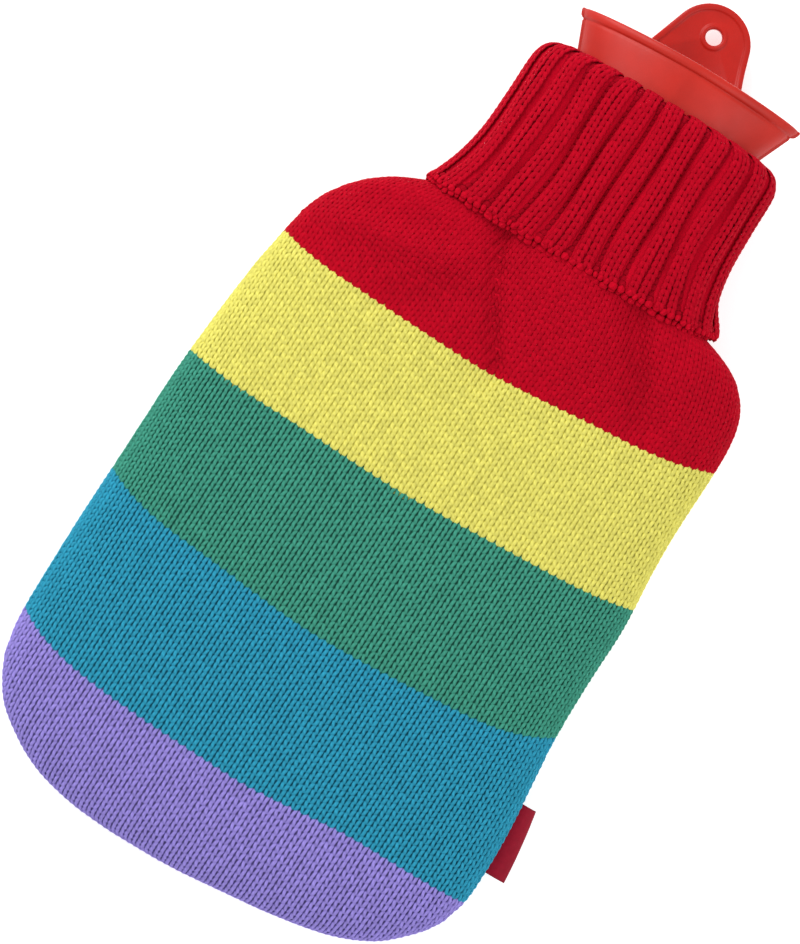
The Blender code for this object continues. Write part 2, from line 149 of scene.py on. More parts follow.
# One leg of a stitch, along its yarn: rows up, wales aside, height, half width in wales, half height
LEG = (
    (-0.42, 0.125, -0.52, 0.00, 0.00),
    (-0.06, 0.160, 0.22, 0.215, 0.80),
    (0.46, 0.245, 0.46, 0.245, 0.90),
    (0.98, 0.320, 0.16, 0.21, 0.80),
    (1.38, 0.345, -0.58, 0.00, 0.00),
)
# The bump of a purl stitch, which crosses its wale instead
PURL = (
    (0.40, -0.66, -0.80, 0.00, 0.00),
    (0.50, -0.36, 0.05, 0.31, 0.66),
    (0.58, 0.00, 0.35, 0.37, 0.78),
    (0.50, 0.36, 0.05, 0.31, 0.66),
    (0.40, 0.66, -0.80, 0.00, 0.00),
)
# And one of the loops along the hem
BEAD = (
    (-0.10, 0.0, -0.60, 0.00, 0.00),
    (0.18, 0.0, 0.20, 0.36, 0.62),
    (0.50, 0.0, 0.34, 0.46, 0.80),
    (0.82, 0.0, 0.20, 0.36, 0.62),
    (1.10, 0.0, -0.60, 0.00, 0.00),
)
BOTH_LEGS, ONE_LEG = (-1.0, 1.0), (1.0,)  # the sides that a stitch's legs lean to
# Round the yarn, in half widths and half heights, and plainer where it is hidden
YARN_RING = ((-1.0, -0.15), (-0.62, 0.74), (0.62, 0.74), (1.0, -0.15), (0.0, -0.8))
YARN_RING_PLAIN = ((-1.0, -0.1), (0.0, 0.92), (1.0, -0.1), (0.0, -0.8))
YARN_SWAY, FATNESS_SPREAD, LEG_SHADES = 0.018, 0.05, (0.92, 1.06)  # at random
LIFT_FLOOR = 0.25  # under the yarn's middle, where it is at its deepest

# The ribbed collar
RIBS = 26
WALES_PER_RIB = 2
COLLAR_POWER = 2.8
COLLAR_THICK = 3.8
COLLAR_ROUND = 274.0  # round its outside
COLLAR_ROW_PITCH = 2.45
PLAIN_WIDENING, PURL_WIDENING = 1.04, 1.1  # so that neighbouring wales touch
FIRST_ROW, HIDDEN_TO_ROW = 0.9, 2.2  # these and all rows of the collar are COLLAR_PATH's
COLLAR_CLOTH_SINK = 1.15  # how far it lies inside the CAD's surface
COLLAR_CLOTH_PITCH, COLUMNS_PER_RIB = 3.2, 8
RIB_DEPTH = 3.0
# Rows with their share of it: the grooves are shallow over the fold and closed by the hem
RIB_DEPTHS = (
    (2, 0.8), (3, 0.5), (4, 0.3), (5, 0.4), (6, 0.8), (7, 1),
    (9.62, 1), (9.72, 0.75), (9.80, 0.3), (9.88, 0.1),
)
RIB_PHASE = 0.125  # the middle of a rib, as a share of one
RIB_HALF_SHARE = 0.35
RIB_ROUND = 3.2  # the power of its rounding
# How the ribs wander: waves round the collar, their turns a row, their start and their height
RIB_SWAY, RIB_WAVES = 0.0015, ((7.0, 0.31, 0.0, 1.0), (17.0, -0.22, 1.0, 0.6))
# The grooves on the left are shallower: by what share, where round the collar and how far
LEFT_SHALLOWER, LEFT_SHARE, LEFT_REACH = 0.55, 0.49, 0.045
HEM_Y = 281.5
HEM_SCALLOP = 1.3
HEM_DROP, HEM_DROP_ROWS = 3.6, 3.0  # how much lower its middle hangs
HEM_LOOPS, HEM_LOOP_WIDTH, HEM_STRAY = 104, 3.5, 0.38  # cast-off loops
HEM_ROWS = ((1.0, 0.2), (0.0, 1.4))  # their two rows: out from the cloth's middle, and below its end
# How far the hem's right corner is turned up and out, and how far round and up that reaches
CORNER_RISE, CORNER_FLARE, CORNER_REACH, CORNER_ROWS = 2.0, 2.2, 0.021, 1.2
HEM_THINNING, THINNED_ROWS = 0.74, 2.0  # of the cloth's inner half
# From inside the neck, over the fold and down to the hem: the place along the cover, half the width,
# half the height, and the share of the neck's lean
COLLAR_PATH = (
    (290.3, 38.5, 18.5, 1), (316, 38.5, 18.7, 0.8), (338.5, 38.5, 19.6, 0.6),
    (343.5, 41, 21.2, 0.55), (344.8, 44.8, 23, 0.5), (343.2, 49.2, 25, 0.55),
    (338.5, 51.5, 26, 0.6), (322, 51.8, 26.1, 0.8), (306, 52.6, 26, 0.9),
    (293, 55.4, 23.6, 1), (HEM_Y, 60, 20.3, 1),
)
COLLAR_END = len(COLLAR_PATH) - 1.0
COLLAR_PATH_STEPS = 900

# The rubber bottle
KNIT_THICK = 3.0
RUBBER_THICK = 3.0
NECK_RADIUS = 15.5
FUNNEL_X = 5.4
FUNNEL_FOOT_Y, RIM_Y = 292.0, 364.8
RIM_HALF_WIDTH, RIM_HALF_DEPTH = 46.4, 19.0
RIM_POWER = 1.55
RIM_WALL_GAIN = 0.5  # of the wall, at the rim's pointed ends
BAG_CLEARANCE, BAG_SEAT_GAP = 2.6, 0.5
BAG_PLACES = (7.0, 12.0, 19.0, 27.0, 37.0, 50.0, 84.0, 123.0, 167.0, 204.0, 228.0, 247.0)
BAG_FOLD_ROOM, BAG_FOLDS = 1.8, (190.0, 235.0)  # the bag is flatter under the cover's folds
BAG_FOOT = (20.0, 80.0)  # and moved up at its foot, to clear the sack
# The shoulders: the place, half the width, and the heights of the top and the bottom
BAG_SHOULDER = ((263.0, 60.0, 36.6, 6.4), (272.0, 42.0, 38.6, 9.6), (280.0, 26.0, 40.8, 11.7))
# The lip: below the rim, and how far it stands out
LIP = (
    (9, 0), (5.2, 0), (4.6, -0.05), (4.1, -0.35), (3.7, -0.3), (3.4, 0.35),
    (2.9, 0.75), (1.8, 0.85), (0.8, 0.75), (0.25, 0.45), (0, -0.1),
)
LIP_INSIDE = ((0.5, 0.0), (0.0, 0.7))
# The funnel's even rings: how far below the rim they end, and how many there are
OUTSIDE, INSIDE = (12.0, 12), (3.0, 10)
HALF_RING_STEPS = 40
MOULD_RIDGE, RIDGE_HALF_ANGLE = 0.9, math.radians(2.2)  # where the mould's halves met
RIDGE_ANGLES = np.radians([1.1, 2.2, 4.0])
BOTTLE_SHARP, TAB_SHARP = math.radians(48), math.radians(60)  # edges sharper than this stay crisp

# The hanging tab
TAB_X, TAB_TOP_Y = 5.9, 395.4
TAB_THICK = 3.4
TAB_HEAD_RADIUS = 16.0
TAB_BASE_HALF_WIDTH = 21.6
EYELET_RADIUS, EYELET_Y = 3.3, 382.8
TAB_BEND = 14.0  # the length over which it bends
TAB_HEAD_POINTS, TAB_SIDE_POINTS, TAB_FOOT_POINTS = 41, 13, 17
TAB_FOOT_INSET = 0.03  # the border's inset at the foot, against elsewhere
SEAM_GAP = 0.3
# How far from the eyelet and how far proud, then how far in from the outline and how far proud
BY_EYELET = ((0.0, -0.5), (0.35, -0.1), (1.4, 0.0), (1.8, -0.25), (2.2, -0.6), (2.6, -0.6))
BY_EDGE = ((3.3, -0.6), (2.8, -0.6), (2.4, -0.25), (2.0, 0.0), (0.5, 0.0), (0.1, -0.25), (0.0, -0.6))

# The woven label
LABEL_PLACES, LABEL_WIDTHS = (64.5, 93.5), (8.6, 6.2)
LABEL_LAYER, LABEL_SPACE = 0.45, 0.12
LABEL_FOLD_OUT, LABEL_FOLD_IN, LABEL_FOLD_ROUND = 1.03, 0.96, 0.35
LABEL_DROOP, LABEL_IN_SEAM = 3.5, 0.6
LABEL_ROWS, LABEL_COLUMNS = 30, 9

# Linear colours and other finishes
RIB_RELIEF = 0.55
# The collar's yarn gets painted shade deep between its stitches, by this share
RIB_PAINTED_DEEP_SHARE = 0.8
GROOVE_PAINTED_SHADE, HEM_PAINTED_LIGHT = 0.80, 1.15  # painted shade on the yarn in the grooves and painted light on the yarn along the hem, against the ribs'
RUBBER_RED = (0.53, 0.024, 0.015)
TAB_RED = (0.52, 0.016, 0.010)
LABEL_RED = (0.36, 0.006, 0.026)
YARN_TOP = 0.95  # from this height the yarn has its own colour; lower down it takes on the painted deep shade and light
TWIST_ALONG, TWIST_AROUND = 16.0, 2.6  # in radians
WARP_PITCH, WEFT_PITCH = 0.0005, 0.0004  # the label's threads, in metres
NOISE_RANGE = (0.3, 0.7)  # nearly all of a noise's values

# The studio, in metres. The camera looks down and is turned so that the neck points up right
CAMERA_PLACE, CAMERA_TURN = (-0.0058, 0.0265, 1.113), math.radians(32.6)
CAMERA_LENS, SENSOR_WIDTH = 109.06, 36.0
LAMPS = (("key", (-1.15, 0.75, 1.1), 18.0), ("fill", (1.1, -0.1, 1.4), 8.0))
LAMP_SIZE, LAMP_AIM = 1.2, (0.0, 0.05, 0.02)
WORLD_LIGHT = 0.62
WHITE, FLOOR_WHITE = (1.0, 1.0, 1.0, 1.0), (0.93, 0.93, 0.93, 1.0)
FLOOR_HALF, FLOOR_Z = 4.0, -0.0006
FLOOR_GLOW = 0.5  # the table is a lit white panel, which keeps its shadows faint


def eased(value, start, end):
    """From 0 at start to 1 at end."""
    part = np.clip((value - start) / (end - start), 0.0, 1.0)
    return part * part * (3.0 - 2.0 * part)


def bell(away, reach):
    return np.exp(-((away / reach) ** 2))


def off_whole(value):
    """How far a value is from the nearest whole number."""
    return (value + 0.5) % 1.0 - 0.5


def unit(vectors):
    return vectors / np.maximum(np.linalg.norm(vectors, axis=-1, keepdims=True), 1e-9)


def through(rows, at):
    """A smooth curve through rows of numbers, read at fractional row numbers."""
    rows, at = np.asarray(rows, float), np.asarray(at, float)
    last = len(rows) - 1
    i = np.clip(np.floor(at).astype(int), 0, last - 1)
    t = (at - i)[:, None]
    a, b = rows[i], rows[i + 1]
    rise_a = (b - rows[np.maximum(i - 1, 0)]) / 2.0
    rise_b = (rows[np.minimum(i + 2, last)] - a) / 2.0
    ease = t * t * (3.0 - 2.0 * t)
    return a + ease * (b - a) + t * (1.0 - t) ** 2 * rise_a - t * t * (1.0 - t) * rise_b


def run_along(path):
    """How far along a path each of its points is."""
    return np.concatenate([[0.0], np.cumsum(np.linalg.norm(np.diff(path, axis=0), axis=1))])


def along_path(path, run, at, reach):
    """Points at places along a path, with its direction there, taken over a reach each way."""
    here, ahead, behind = (
        np.stack([np.interp(places, run, column) for column in path.T], axis=-1)
        for places in (at, at + reach, at - reach)
    )
    return here, ahead - behind


def powered(angles, power):
    """Shares across and up a superellipse."""
    c, s = np.cos(angles), np.sin(angles)
    return np.sign(c) * np.abs(c) ** (2.0 / power), np.sign(s) * np.abs(s) ** (2.0 / power)


def half_oval(half_width, height, power):
    """Shares across and up half a superellipse, at even steps of its arc from left to right."""
    across, up = powered(np.linspace(math.pi, 0.0, 2 * OVAL_STEPS + 1), power)
    run = run_along(np.stack([across * half_width, up * height], axis=1))
    places = np.linspace(0.0, run[-1], OVAL_STEPS + 1)
    return np.interp(places, run, across), np.interp(places, run, up)


ARC = np.linspace(-1.0, 1.0, OVAL_STEPS + 1)
FRONT_OVAL = half_oval(98.0, 24.0, BODY_POWER)
BACK_OVAL = half_oval(98.0, 16.0, BODY_POWER)
COLLAR_OVAL = half_oval(54.0, 28.0, COLLAR_POWER)
PROFILE = through(SECTIONS, np.linspace(0.0, len(SECTIONS) - 1.0, PROFILE_STEPS)).T


def section(y):
    """The sack's left and right edges, and the heights of those, of its crown and of its underside."""
    return [np.interp(y, PROFILE[0], column) for column in PROFILE[1:]]


def lean(y):
    return NECK_LEAN * eased(y, *LEAN_PLACES)


def leaned(x, y, z, by):
    return np.stack([x, y + by * (x - NECK_X), z], axis=-1)


def unleaned(x, y):
    """The place along the cover of a leaned point."""
    return y - lean(y) * (x - NECK_X)


def pressed(x, y, folds):
    """The depth of the deepest trough among some folds less the height of the highest ridge."""
    trough, ridge = np.zeros_like(x), np.zeros_like(x)
    for x0, y0, x1, y1, left, right, depth in folds:
        dx, dy = x1 - x0, y1 - y0
        part = np.clip(((x - x0) * dx + (y - y0) * dy) / (dx * dx + dy * dy), 0.0, 1.0)
        away = np.hypot(x - x0 - part * dx, y - y0 - part * dy)
        side = (dx * (y - y0) - dy * (x - x0)) / np.maximum(math.hypot(dx, dy) * away, 1e-6)
        here = depth * bell(away, left + (right - left) * eased(side, -1.0, 1.0))
        trough, ridge = np.maximum(trough, here), np.minimum(ridge, here)
    return trough + ridge


def cover_point(y, share, back):
    """The sack's surface at a place along it and a share across."""
    left, right, edge, crown, under = section(y)
    across, up = BACK_OVAL if back else FRONT_OVAL
    u, v = np.interp(share, ARC, across), np.interp(share, ARC, up)
    x = (left + right) / 2.0 + (right - left) / 2.0 * u
    if back:
        z = np.maximum(edge - (edge - under) * v, 0.0)
    else:
        fold = pressed(x, y, FOLDS) + pressed(x, y, CREASES)
        z = edge + (crown - edge) * v - fold * eased(v, *FOLD_FADE)
    return leaned(x, y, z, lean(y))


def cover_frame(y, share, back):
    """Points of the sack, and the direction out of it."""
    step_y, step_s = 0.4, 0.01
    across = cover_point(y, np.minimum(share + step_s, 1.0), back)
    across = across - cover_point(y, np.maximum(share - step_s, -1.0), back)
    along = cover_point(y + step_y, share, back) - cover_point(np.maximum(y - step_y, 0.0), share, back)
    return cover_point(y, share, back), unit(np.cross(across, along) * (-1.0 if back else 1.0))


def smile(row, x):
    """How far a row's stitches rise above its middle at x."""
    places, *rises = np.array(SMILE).T
    midway, end, right_midway, right_end = (np.interp(row, places, rise) for rise in rises)
    midway, end = np.where(x < 0.0, midway, right_midway), np.where(x < 0.0, end, right_end)
    ends = np.abs(x / SMILE_END) ** SMILE_POWER
    return midway * eased(np.abs(x), 0.0, SMILE_MIDWAY) + (end - midway) * ends


def stripe_at(row):
    """The number of the stripe that holds a row."""
    return np.searchsorted([stripe.top for stripe in STRIPES], row)


def edge_place(x, lower):
    """Where the sack's outline passes x in its lower or upper part, and on which side that is."""
    found = []
    for side, edge in ((1.0, PROFILE[2]), (-1.0, -PROFILE[1])):
        widest = int(np.argmax(edge))
        part = slice(0, widest + 1) if lower else slice(None, widest - 1, -1)
        found.append(np.interp(side * x, edge[part], PROFILE[0][part]))
    return np.where(x > BOTTOM_X, *found), np.where(x > BOTTOM_X, 1.0, -1.0)


def wale_paths(back):
    """The wales from left to right: each path up the cloth, how far along its points are, their rows."""
    wales = np.arange(-WALES_EACH_WAY, WALES_EACH_WAY + 1) + 0.5
    traced = []
    for row in TRACED_ROWS:
        y = np.full(TRACED_SHARES.size, row)
        for _ in range(3):  # until the rise and the place that it is read at agree
            points = cover_point(y, TRACED_SHARES, back)
            y = row + smile(row, points[:, 0])
        run = run_along(points)
        x = points[:, 0]
        middle = np.interp(NECK_X, x, run) + max(NECK_X - x[-1], 0.0)
        if row <= NARROWING_FROM:
            widest = run[-1]
        pitch = WALE_PITCH * (run[-1] / widest) ** 0.5
        at = middle + wales * pitch
        inside = (at > 0.5 * pitch) & (at < run[-1] - 0.5 * pitch)
        traced.append((np.interp(at, run, y), np.interp(at, run, TRACED_SHARES), inside))
    ys, shares, inside = (np.array(one) for one in zip(*traced))
    points = cover_point(ys, shares, back)
    paths = []
    for w in range(wales.size):
        here = np.flatnonzero(inside[:, w])
        if here.size < FEWEST_ROWS:
            continue
        path, row = points[here, w], TRACED_ROWS[here]
        foot = cover_point(*edge_place(path[:1, 0], True), back)
        path, row = np.vstack([foot, path]), np.append(row[0] - END_STEP, row)
        if here[-1] < TRACED_ROWS.size - 1:
            top = cover_point(*edge_place(path[-1:, 0], False), back)
            path, row = np.vstack([path, top]), np.append(row, row[-1] + END_STEP)
        paths.append((path, run_along(path), row))
    return paths


def wale_places(run, row):
    """Where along one wale its stitches start, their stripes and which of them there are. The bottom and
    the top stripe are counted from their inner border, to keep their rows even over the curved ends."""
    foot = STRIPES[0]
    counts = [int(FOOT_RUN / foot.pitch)]
    places = [np.interp(foot.top, row, run) - foot.pitch * np.arange(counts[0], 0, -1)]
    for below, stripe in zip(STRIPES, STRIPES[1:-1]):
        counts.append(round((stripe.top - below.top) / stripe.pitch))
        rows = np.linspace(below.top, stripe.top, counts[-1], endpoint=False)
        places.append(np.interp(rows, row, run))
    counts.append(int(TOP_RUN / RED.pitch) + 1)
    places.append(np.interp(STRIPES[-2].top, row, run) + RED.pitch * np.arange(counts[-1]))
    places = np.clip(np.concatenate(places), 0.0, run[-1])
    stripes = np.repeat(np.arange(len(STRIPES)), counts)
    pitches = np.array([stripe.pitch for stripe in STRIPES])[stripes]
    step = np.diff(places)
    used = np.flatnonzero(step > 1e-6)
    if step[used[0]] < JOINED_UNDER * pitches[used[0]]:
        places[used[0] + 1] = places[used[0]]
    if step[used[-1]] < JOINED_UNDER * pitches[used[-1]]:
        places[used[-1]] = places[used[-1] + 1]
    return places, stripes, np.append(np.diff(places) > DROPPED_UNDER * pitches[:-1], False)


def stitch_grid(back):
    """The sack's stitches in rows: where they start, the step to the next wale, the direction out, which
    of them there are, and each row's stripe."""
    columns = []
    for path, run, row in wale_paths(back):
        places, stripes, there = wale_places(run, row)
        columns.append((*along_path(path, run, places, TANGENT_REACH), there))
    points, tangents, there = (np.stack(one, axis=1) for one in zip(*columns))
    used = there | np.vstack([np.zeros_like(there[:1]), there[:-1]])
    known = (used[:, 1:] & used[:, :-1])[..., None].astype(float)
    sides = ((0, 0), (1, 1), (0, 0))
    step, known = np.pad(np.diff(points, axis=1) * known, sides), np.pad(known, sides)
    across = (step[:, :-1] + step[:, 1:]) / np.maximum(known[:, :-1] + known[:, 1:], 1.0)
    alone = np.linalg.norm(across, axis=-1, keepdims=True) < 0.1
    across = np.where(alone, (WALE_PITCH, 0.0, 0.0), across)
    size = np.linalg.norm(across, axis=-1, keepdims=True)
    least, most = WALE_LIMITS
    across = across / size * np.clip(size, least * WALE_PITCH, most * WALE_PITCH)
    out = unit(np.cross(across, tangents)) * (-1.0 if back else 1.0)
    return points, across, out, there, stripes


def edge_grid():
    """The column of stitches that runs round the sack's edge, down the left and up the right."""
    up = np.linspace(0.0, EDGE_TOP_Y, EDGE_STEPS)[1:]
    y = np.concatenate([np.linspace(EDGE_TOP_Y, 0.0, EDGE_STEPS), up])
    left, right, z, _, _ = section(y)
    path = leaned(np.where(np.arange(y.size) < EDGE_STEPS, left, right), y, z, lean(y))
    run = run_along(path)
    count = int(run[-1] / EDGE_PITCH)
    at = np.linspace(0.0, run[-1], count + 1)
    points, tangents = along_path(path, run, at, EDGE_TANGENT_REACH)
    out = unit(np.cross(tangents, (0.0, 0.0, 1.0)))
    across = unit(np.cross(tangents, out)) * EDGE_WIDTH
    there = np.arange(count + 1) < count
    place = np.interp(at + EDGE_MIDDLE * EDGE_PITCH, run, y)
    stripes = stripe_at(place - smile(place, points[:, 0]))
    return points[:, None], across[:, None], out[:, None], there[:, None], stripes


def sample(grid, up):
    """A grid's values this many rows further on, in a straight line between its rows."""
    last = len(grid) - 1
    at = np.clip(np.arange(len(grid)) + up, 0.0, last)
    low = np.minimum(at.astype(int), last - 1)
    part = (at - low).reshape((-1,) + (1,) * (grid.ndim - 1))
    return grid[low] * (1.0 - part) + grid[low + 1] * part


def legs(grid, ring, random, leg, sides, fatness=1.0, relief=1.0):
    """The legs of a grid's stitches: their points, each point's place along the yarn, round it and up
    it, and a random shade for each leg."""
    points, across, out, there = grid
    made = []
    for side in sides:
        middles = []
        for up, aside, height, _, _ in leg:
            sway = random.normal(0.0, YARN_SWAY, there.shape)[..., None]
            place = sample(points, up) + sample(across, up) * (side * aside + sway)
            middles.append(place + sample(out, up) * (relief * height))
        middles = np.stack(middles, axis=2)[there]
        normals = np.stack([sample(out, row[0]) for row in leg], axis=2)[there]
        pitch = np.linalg.norm(across, axis=-1)[there][:, None, None]
        fat = random.normal(fatness, FATNESS_SPREAD, (len(middles), 1, 1))
        aside = unit(np.cross(np.gradient(middles, axis=1), normals))
        made.append((middles, normals, aside, pitch, fat))
    middles, normals, aside, pitch, fat = (np.concatenate(parts) for parts in zip(*made))
    corners, coords = [middles[:, 0]], [(0.0, 0.0, 0.0)]
    for j in range(1, len(leg) - 1):
        for across_share, up_share in ring:
            wide = aside[:, j] * (leg[j][3] * pitch[:, 0] * fat[:, 0] * across_share)
            high = normals[:, j] * (leg[j][4] * relief * up_share)
            corners.append(middles[:, j] + wide + high)
            coords.append((j / (len(leg) - 1.0), across_share, max(up_share + LIFT_FLOOR, 0.0)))
    corners.append(middles[:, -1])
    coords.append((1.0, 0.0, 0.0))
    return np.stack(corners, axis=1), coords, random.uniform(*LEG_SHADES, len(middles))


def ring_faces(rings, count, looped=False):
    """Quads between rings of points. looped joins the last ring to the first."""
    faces = []
    i = np.arange(count)
    j = (i + 1) % count
    for row in range(rings if looped else rings - 1):
        low, high = row * count, ((row + 1) % rings) * count
        faces.append(np.stack([low + i, high + i, high + j, low + j], axis=1))
    return np.concatenate(faces)


def halved(quads):
    return [quads[:, :3], quads[:, [0, 2, 3]]]


def closed_faces(rings, count):
    """The triangles of a closed body: a point, rings of points and a point."""
    i = np.arange(count)
    j = (i + 1) % count
    last = 1 + rings * count
    foot = np.stack([0 * i, 1 + i, 1 + j], axis=1)
    top = np.stack([0 * i + last, last - count + j, last - count + i], axis=1)
    return np.concatenate([foot, *halved(ring_faces(rings, count) + 1), top])


def new_object(name, points, faces, materials, attributes=()):
    """A mesh object from points in millimetres and faces of equal count, turned to face out."""
    points, faces = ((points - ORIGIN) * MM).reshape(-1, 3), np.asarray(faces)
    a, b, c = (points[faces[:, corner]] for corner in range(3))
    if np.einsum("ij,ij->i", a, np.cross(b, c)).sum() < 0.0:
        faces = faces[:, ::-1]
    mesh = bpy.data.meshes.new(name)
    mesh.from_pydata(points, [], faces)
    mesh.validate()
    mesh.shade_smooth()
    for attribute, values in attributes:
        mesh.attributes.new(attribute, "FLOAT", "POINT").data.foreach_set("value", values.astype(np.float32))
    for one in materials:
        mesh.materials.append(one)
    return linked(name, mesh)


def linked(name, data):
    made = bpy.data.objects.new(name, data)
    bpy.context.collection.objects.link(made)
    return made


def looped_object(name, rings, materials):
    return new_object(name, np.concatenate(rings), ring_faces(len(rings), len(rings[0]), True), materials)


def yarn_object(name, batches, material):
    """One piece from batches of yarn: each its points, its shared coords and its shades."""
    points, faces, coords, shade = [], [], [], []
    count = 0
    for corners, shared, shades in batches:
        legs_here, each = corners.shape[:2]
        template = closed_faces(len(LEG) - 2, (each - 2) // (len(LEG) - 2))
        starts = count + np.arange(legs_here) * each
        faces.append((template[None] + starts[:, None, None]).reshape(-1, 3))
        corners[..., 2] = np.maximum(corners[..., 2], 0.0)
        points.append(corners.reshape(-1, 3))
        coords.append(np.tile(shared, (legs_here, 1)))
        shade.append(np.broadcast_to(shades.reshape(legs_here, -1), (legs_here, each)).ravel())
        count += legs_here * each
    values = (*np.concatenate(coords).T, np.concatenate(shade))
    attributes = zip(("along", "around", "lift", "shade"), values)
    return new_object(name, np.concatenate(points), np.concatenate(faces), [material], attributes)


# Materials


SOCKETS = (
    "Base Color", "Roughness", "Specular IOR Level", "Sheen Weight", "Sheen Roughness", "Sheen Tint",
)


class Nodes:
    """A short way to write a material's nodes."""

    def __init__(self, name):
        self.material = bpy.data.materials.new(name)
        self.material.use_nodes = True
        self.tree = self.material.node_tree
        self.shader = self.tree.nodes["Principled BSDF"]

    def add(self, kind, inputs=(), **settings):
        node = self.tree.nodes.new(kind)
        for key, value in settings.items():
            setattr(node, key, value)
        for key, value in dict(inputs).items():
            self.put(node.inputs[key], value)
        return node

    def put(self, socket, value):
        if isinstance(value, bpy.types.NodeSocket):
            self.tree.links.new(value, socket)
        else:
            socket.default_value = value

    def math(self, operation, *values):
        return self.add("ShaderNodeMath", enumerate(values), operation=operation).outputs[0]

    def product(self, first, *others):
        for other in others:
            first = self.math("MULTIPLY", first, other)
        return first

    def attribute(self, name):
        return self.add("ShaderNodeAttribute", attribute_name=name).outputs["Fac"]

    def spread(self, *values):
        """A value from low to high turned into another low to high."""
        return self.add("ShaderNodeMapRange", enumerate(values)).outputs[0]

    def noise(self, scale, detail=2.0):
        """A noise with about this many bumps a metre."""
        where = self.add("ShaderNodeTexCoord").outputs["Object"]
        inputs = {"Vector": where, "Scale": scale, "Detail": detail}
        return self.add("ShaderNodeTexNoise", inputs).outputs["Fac"]

    def varied(self, noise, low, high):
        """A noise turned into low to high."""
        return self.spread(noise, *NOISE_RANGE, low, high)

    def scaled(self, colour, factor):
        colour = colour[:3] if isinstance(colour, tuple) else colour
        return self.add("ShaderNodeVectorMath", {0: colour, "Scale": factor}, operation="SCALE").outputs[0]

    def finish(self, colour, roughness, specular, bump=None, sheen=()):
        """The material. bump is a height, its distance in metres and its strength."""
        for name, value in zip(SOCKETS, (colour, roughness, specular, *sheen)):
            self.put(self.shader.inputs[name], value)
        if bump:
            inputs = zip(("Height", "Distance", "Strength"), bump)
            self.put(self.shader.inputs["Normal"], self.add("ShaderNodeBump", inputs).outputs[0])
        return self.material


def coloured(colour, share=1.0):
    return tuple(share * one for one in colour) + (1.0,)


def yarn_material(stripe, name, deep_share):
    """Matt spun yarn: with painted shade deep between its neighbours (painted light where its share is above
    1), the twist of its plies, loose fibres and small differences from leg to leg."""
    nodes = Nodes(name)
    # Painted shade deep between the stitches: where the yarn lies low, its colour goes to the deep share's
    height = nodes.spread(nodes.attribute("lift"), 0.0, YARN_TOP, 0.0, 1.0)
    inputs = {0: height, 6: coloured(stripe.colour, deep_share), 7: coloured(stripe.colour)}
    painted_depth_colour = nodes.add("ShaderNodeMix", inputs, data_type="RGBA").outputs[2]
    along = nodes.product(nodes.attribute("along"), TWIST_ALONG)
    around = nodes.product(nodes.attribute("around"), TWIST_AROUND)
    twist = nodes.math("SINE", nodes.math("ADD", along, around))
    mottle = nodes.varied(nodes.noise(700.0, 3.0), 0.93, 1.06)
    # The shade attribute: a random tone for each leg, with the painted shade of the folds and the grooves
    # and the painted light of the hem
    bright = nodes.product(nodes.attribute("shade"), mottle, nodes.spread(twist, -1.0, 1.0, 0.95, 1.04))
    fibres = nodes.math("ADD", nodes.product(twist, 0.5), nodes.noise(4200.0))
    sheen = (0.1, 0.45, coloured(stripe.colour))
    return nodes.finish(nodes.scaled(painted_depth_colour, bright), 0.9, 0.08, (fibres, 0.00022, 0.7), sheen)


def cloth_material(stripe):
    """The cloth under the stitches, which shows only between them. Its colour is the yarn's times the
    stripe's deep share: painted shade below 1, painted light above it.
    """
    nodes = Nodes(stripe.name + "_under")
    bright = nodes.varied(nodes.noise(1500.0), 0.85, 1.1)
    colour = nodes.scaled(coloured(stripe.colour, stripe.deep_share), bright)
    return nodes.finish(colour, 0.95, 0.1, (nodes.noise(2600.0), 0.0003, 0.6))


def rubber_material(name, colour):
    """Moulded rubber: satin, faintly mottled and with the fine skin of the mould."""
    nodes = Nodes(name)
    skin = nodes.noise(2200.0, 3.0)
    mottle = nodes.varied(nodes.noise(60.0, 4.0), 0.90, 1.10)
    colour = nodes.scaled(coloured(colour), nodes.product(mottle, nodes.varied(skin, 0.97, 1.03)))
    rough = nodes.varied(nodes.noise(180.0, 3.0), 0.30, 0.42)
    return nodes.finish(colour, rough, 0.22, (skin, 0.00006, 0.5))


def label_material():
    """Woven tape: warp and weft threads in a fine plain weave."""
    nodes = Nodes("woven_label")
    where = nodes.add("ShaderNodeTexCoord").outputs["Object"]
    parts = nodes.add("ShaderNodeSeparateXYZ", {"Vector": where}).outputs
    warp = nodes.math("SINE", nodes.product(parts["X"], 2.0 * math.pi / WARP_PITCH))
    weft = nodes.math("SINE", nodes.product(parts["Y"], 2.0 * math.pi / WEFT_PITCH))
    weave = nodes.product(warp, weft)
    mottle = nodes.varied(nodes.noise(500.0), 0.92, 1.08)
    bright = nodes.product(nodes.spread(weave, -1.0, 1.0, 0.85, 1.1), mottle)
    colour = nodes.scaled(coloured(LABEL_RED), bright)
    return nodes.finish(colour, 0.7, 0.12, (weave, 0.00012, 0.8), (0.04, 0.4))


# The knitted sack


